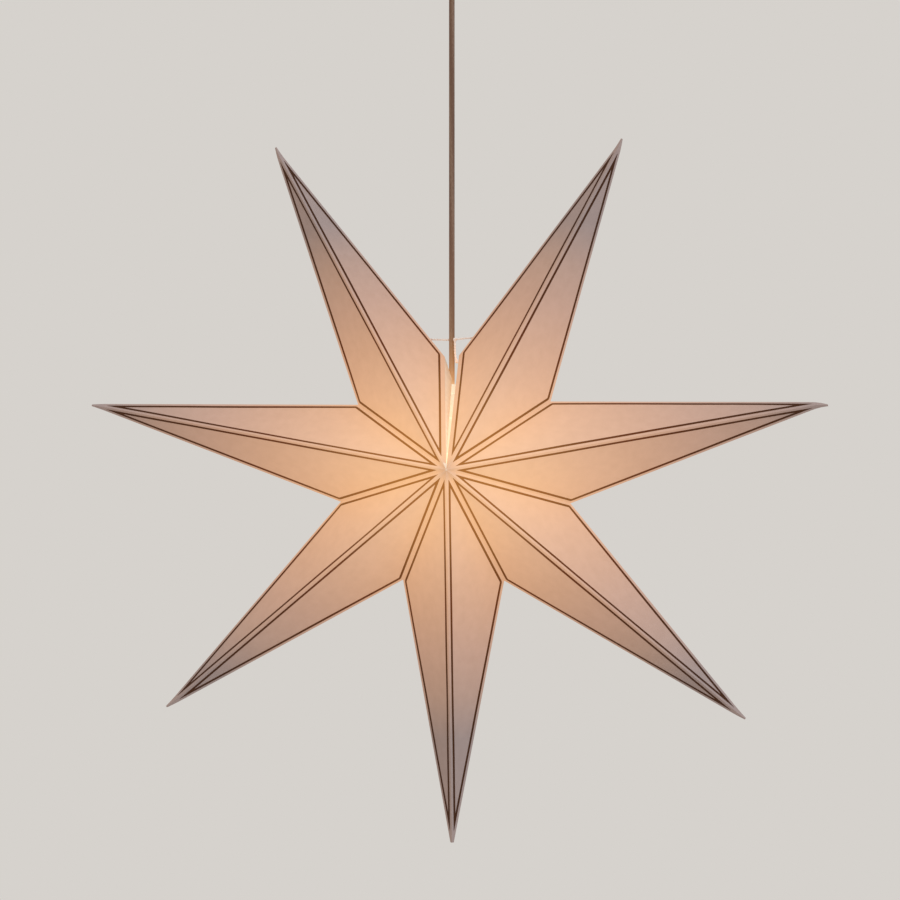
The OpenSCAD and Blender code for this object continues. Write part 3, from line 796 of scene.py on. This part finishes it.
def makeBulb():
    # Golf-ball bulb: an opal globe and neck, and a screw cap with its rolled thread and a contact on its end
    middle, globe, neck, steps = bulb["middle"], bulb["globe"], bulb["neck"], bulb["threadSteps"]
    shoulder, top = middle + globe * 0.5, middle + bulb["neckTop"]
    ball = [(globe * math.cos(a), middle + globe * math.sin(a)) for a in map(math.radians, range(-85, 31, 5))]
    inward, upward = bulb["waist"]
    waist = (neck + (ball[-1][0] - neck) * inward, shoulder + (top - shoulder) * upward)
    glass = [(0, middle - globe), *ball, waist, (neck, top - bulb["collar"]), (neck, top)]
    threaded = bulb["screwLength"] - bulb["threadStart"] - bulb["threadEnd"]
    rings = round(threaded / bulb["threadPitch"] * steps)
    thread = []
    for k in range(rings + 1):
        groove = bulb["threadDepth"] * (0.5 - 0.5 * math.cos(math.tau * k / steps))
        thread.append((bulb["screw"] - groove, top + bulb["threadStart"] + k * bulb["threadPitch"] / steps))
    end, contact = top + bulb["screwLength"], bulb["contact"]
    metal = [(bulb["screw"], top), *thread, (bulb["screw"], end - bulb["threadEnd"]),
             (contact + bulb["taper"], end), (contact, end + contact), (0, end + contact)]
    made = turnPiece("golf_ball_bulb", glass + metal, [opalGlass, bareBrass], "bulb")
    for face in made.data.polygons:
        if face.center.z > top + 0.01 * mm:
            face.material_index = 1


ceilingCup = makeCup()
cupGrip = makeGrip("cup_grip_moulded", "cup_grip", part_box("ceiling_cup")[0].z, -1)
makeHolder()
makeBulb()
makeCord()
makeString()
for names, material in (
    (("holder_insert", "terminal_block"), whitePlastic),
    (("cup_screws", "ceiling_strap"), zincSteel),
    (("screw_shell", "centre_contact", "terminal_screws"), bareBrass),
):
    for name in names:
        nodes[name].data.materials.clear()
        nodes[name].data.materials.append(material)
print("string, cord, holder and ceiling cup made")

# Light: an even studio, brighter from above and in front, with a pale background that only the camera sees
studio = {
    "background": "#D6D2CD",
    "floor": "#DCD9D4",
    "level": (0.78, 0.76, 0.75),
    "fromRight": (0.07, 0.17, 0.28),  # the light leans to the front and, cooler, to the right and to above
    "fromFront": (-0.10, -0.10, -0.10),
    "fromAbove": (0.08, 0.17, 0.24),
    "floorHeight": -4.2,
    "floorRadius": 9,
    "lampPlace": (1.3, -2.4, 1.0),
    "lampSize": 1.6,
    "lampPower": 7,
}
world = bpy.data.worlds.new("studio")
world.use_nodes = True
scene.world = world
tree = world.node_tree
background = tree.nodes["Background"]
direction = addNode(tree, "ShaderNodeTexCoord").outputs["Generated"]
axes = addNode(tree, "ShaderNodeSeparateXYZ", {0: direction})
level = studio["level"]
for axis, side in (("X", "fromRight"), ("Y", "fromFront"), ("Z", "fromAbove")):
    level = addNode(tree, "ShaderNodeVectorMath", {0: axes.outputs[axis], 1: studio[side], 2: level},
                    operation="MULTIPLY_ADD").outputs[0]
rays = addNode(tree, "ShaderNodeLightPath")
glossy = addNode(tree, "ShaderNodeMath", {0: rays.outputs["Is Camera Ray"], 1: rays.outputs["Is Glossy Ray"]},
                 operation="MAXIMUM")
seen = addNode(tree, "ShaderNodeMath", {0: glossy.outputs[0], 1: rays.outputs["Is Transmission Ray"]},
               operation="MAXIMUM")
tone = addNode(tree, "ShaderNodeMix", {"Factor": seen.outputs[0], 6: level,
                                       7: linearColour(studio["background"])}, data_type="RGBA")
tree.links.new(tone.outputs[2], background.inputs["Color"])

floorMesh = bmesh.new()
bmesh.ops.create_circle(floorMesh, cap_ends=True, segments=96, radius=studio["floorRadius"],
                        matrix=Matrix.Translation((0, 0, studio["floorHeight"])))
mesh = bpy.data.meshes.new("floor")
floorMesh.to_mesh(mesh)
floorMesh.free()
floorPaint, tree, shader, place = newMaterial("floorPaint", Roughness=0.9)
shader.inputs["Base Color"].default_value = linearColour(studio["floor"])
mesh.materials.append(floorPaint)
floor = bpy.data.objects.new("floor", mesh)
scene.collection.objects.link(floor)

lampData = bpy.data.lights.new("lamp", "AREA")
lampData.shape = "DISK"
lampData.size = studio["lampSize"]
lampData.energy = studio["lampPower"]
lamp = bpy.data.objects.new("lamp", lampData)
scene.collection.objects.link(lamp)
lampAim = (star["place"] - Vector(studio["lampPlace"])).to_track_quat("-Z", "Y").to_matrix().to_4x4()
lamp.matrix_world = Matrix.Translation(studio["lampPlace"]) @ lampAim
lamp.visible_camera = False
print("studio made")
